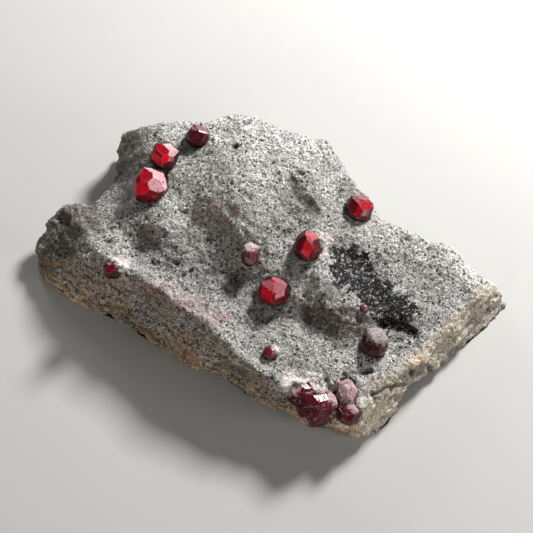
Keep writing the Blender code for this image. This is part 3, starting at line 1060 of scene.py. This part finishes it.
print("garnet IOR", GARNET_IOR, "transmission", CLEAR)

# %% Garnet finish
FACET_BUMP = 0.14
FROSTED_AND_HIGHLIT, RUBBED = 0.93, 0.16


def garnet_finish(name, look):
    """A garnet: clear red, with frost and a painted highlight on its pale faces, and caps of rock
    film.
    """
    material, shader, place = new_finish(name)
    mottle = cloud(place, 1.5, 3.0)
    specks = cloud(place, 0.4, 3.0, 0.7)
    clear_garnet(shader, place, look, mottle)
    bumps = specks * 0.5 + cloud(place, 0.9, 2.0)
    bump = bumps.node(
        "ShaderNodeBump", {}, {"Strength": 0.7, "Distance": FACET_BUMP * MM, "Height": bumps})
    feed(bump, shader, "Normal")

    # Frost on the pale faces, partly a painted highlight.
    frost = faces(place, look.pale) * step(mottle, 0.28, 0.42)
    crust = caps(place, look.caps, cloud(place, 0.8, 4.0, 0.75))
    rubbed = step(mesh_note(place, "worn"), 0.55, 1.0) * step(specks, 0.38, 0.62) * RUBBED
    share = larger(larger(frost, crust) * FROSTED_AND_HIGHLIT, rubbed)
    glassy = Wire(material.node_tree, shader.outputs["BSDF"])
    dull = dull_film(place, look, crust, specks, bump)
    surface = place.node("ShaderNodeMixShader", {}, {0: share, 1: glassy, 2: dull})
    inside = place.node(
        "ShaderNodeVolumeAbsorption", {}, {"Color": (*DYE, 1), "Density": DYE_DENSITY})
    output = material.node_tree.nodes["Material Output"]
    feed(surface, output, "Surface")
    feed(inside, output, "Volume")
    return material


print("share of frost on a pale face:", FROSTED_AND_HIGHLIT, "and on a rubbed edge:", RUBBED)

# %% [markdown]
# ## A look for each crystal
#
# No two garnets on the slab look alike. The large ones glow red on the face turned to the front, the
# small one in the middle and the one on the right wear a cap of rock film, and the cluster wears
# seven. A named tuple keeps each crystal's colours, faces and caps together, and what a crystal
# doesn't have is left out.

# %% Looks of the crystals
# Body, glow and frost colours, the directions of the lit and the pale faces, and the caps' spots.
# The glow is painted, and on the pale faces the frost is partly a painted highlight.
Look = namedtuple("Look", "body glow frost lit pale caps", defaults=((), (), ()))
LOOKS = {
    "garnet_head_large": Look(
        CRIMSON, RED, ROSE, lit=((-0.28, -0.49, 0.82),),
        pale=((0.28, -0.37, 0.89), (0.78, 0.20, 0.59), (0.38, 0.61, 0.69), (0.38, 0.14, 0.91))),
    "garnet_head_middle": Look(
        CRIMSON, RED, CHALK, lit=((-0.62, -0.59, 0.52), (0.12, -0.53, 0.84)),
        pale=((0.36, 0.32, 0.88), (0.52, -0.15, 0.84))),
    "garnet_head_dark": Look(MAROON, WINE, BLUSH, pale=((0.34, 0.51, 0.79),)),
    "garnet_shoulder": Look(
        WINE, CRIMSON, BLUSH, lit=((0.41, -0.07, 0.91), (-0.07, -0.44, 0.90)),
        pale=((-0.17, 0.14, 0.98), (0.27, 0.44, 0.86))),
    "garnet_centre": Look(
        WINE, RED, AMBER, lit=((-0.19, -0.58, 0.79),),
        pale=((0.21, 0.55, 0.81), (0.20, -0.26, 0.95), (0.53, 0.14, 0.84))),
    "garnet_valley": Look(
        CRIMSON, RED, BLUSH, lit=((-0.52, -0.45, 0.73),),
        pale=((0.31, -0.12, 0.94), (0.37, 0.65, 0.67), (-0.27, -0.06, 0.96))),
    "garnet_pale": Look(DUSK, WINE, CHALK, caps=(((-4.9, 1.6, 18.9), 2.2),)),
    "garnet_crest": Look(
        MAROON, WINE, CHALK, lit=((-0.08, -0.35, 0.93),), pale=((0.80, 0.50, 0.35),)),
    "garnet_capped": Look(DREGS, WINE, ASH, caps=(((24.9, -17.9, 13.4), 3.3),)),
    "garnet_bud": Look(WINE, CRIMSON, ROSE, pale=((0.60, 0.40, 0.70),)),
    "garnet_speck": Look(DUSK, WINE, ROSE, pale=((0.20, 0.40, 0.90),)),
    "garnet_cluster": Look(
        PORT, WINE, PEARL, caps=(
            ((11.4, -30.5, 11.0), 2.3), ((4.6, -30.9, 12.0), 2.3), ((17.8, -31.2, 11.6), 2.9),
            ((14.2, -33.2, 10.8), 2.1), ((18.8, -35.0, 10.2), 1.6), ((8.2, -38.0, 8.5), 1.3),
            ((13.6, -36.5, 9.0), 1.1))),
}
for name, look in LOOKS.items():
    crystals[name].data.materials.append(garnet_finish(name + "_finish", look))
print("garnet finishes:", len(LOOKS))

# %% [markdown] ## A pale table  The stone rests on a plain matt table, so that nothing competes
# with it. One large square does for that. It lies a hair under the stone's flat underside, because
# two faces in one plane would flicker.

# %% Floor
TABLE_REACH = 2.0
TABLE_DROP = 0.05
PAPER_TONE = (0.38, 0.38, 0.376)
board = bmesh.new()
bmesh.ops.create_grid(board, x_segments=1, y_segments=1, size=TABLE_REACH)
table_mesh = bpy.data.meshes.new("table")
board.to_mesh(table_mesh)
board.free()
table = new_object("table", table_mesh)
table.location.z = -TABLE_DROP * MM
paper, paper_shader, _ = new_finish("pale paper")
paper_shader.inputs["Base Color"].default_value = (*PAPER_TONE, 1)
paper_shader.inputs["Roughness"].default_value = 0.8
table.data.materials.append(paper)
print("table at", round(table.location.z / MM, 2), "mm")

# %% [markdown]
